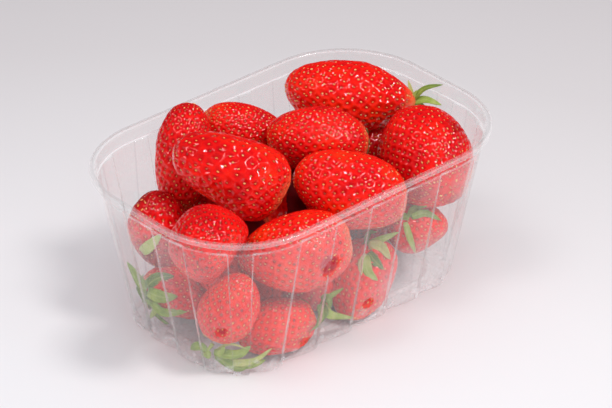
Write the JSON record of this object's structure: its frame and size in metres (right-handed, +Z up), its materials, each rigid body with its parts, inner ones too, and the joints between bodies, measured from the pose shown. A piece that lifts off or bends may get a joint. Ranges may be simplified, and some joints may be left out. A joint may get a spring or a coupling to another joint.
{
  "type": "punnet of strawberries",
  "caption": "Clear thin-walled fruit punnet with rounded ends, fluted walls and a rolled rim, filled with a loose heap of ripe strawberries.",
  "frame": {"origin": "on the ground at the middle of the punnet's footprint", "axes": "+X along the punnet, +Y across it, +Z up"},
  "size_m": [0.187, 0.1246, 0.0926],
  "materials": {
    "clear_sheet": "clear thermoformed sheet, glossy, faintly grey at the folds",
    "strawberry_red": "fresh ripe fruit skin, glossy, dimpled round each seed",
    "calyx_green": "fresh green leaf, soft sheen, paler underneath",
    "seed_yellow": "small dry seeds, yellow to olive",
    "heap_core": "deep shade between the berries"
  },
  "bodies": {
    "root": {"punnet_tray": "clear_sheet", "strawberry_heap": "strawberry_red"}
  },
  "joints": []
}
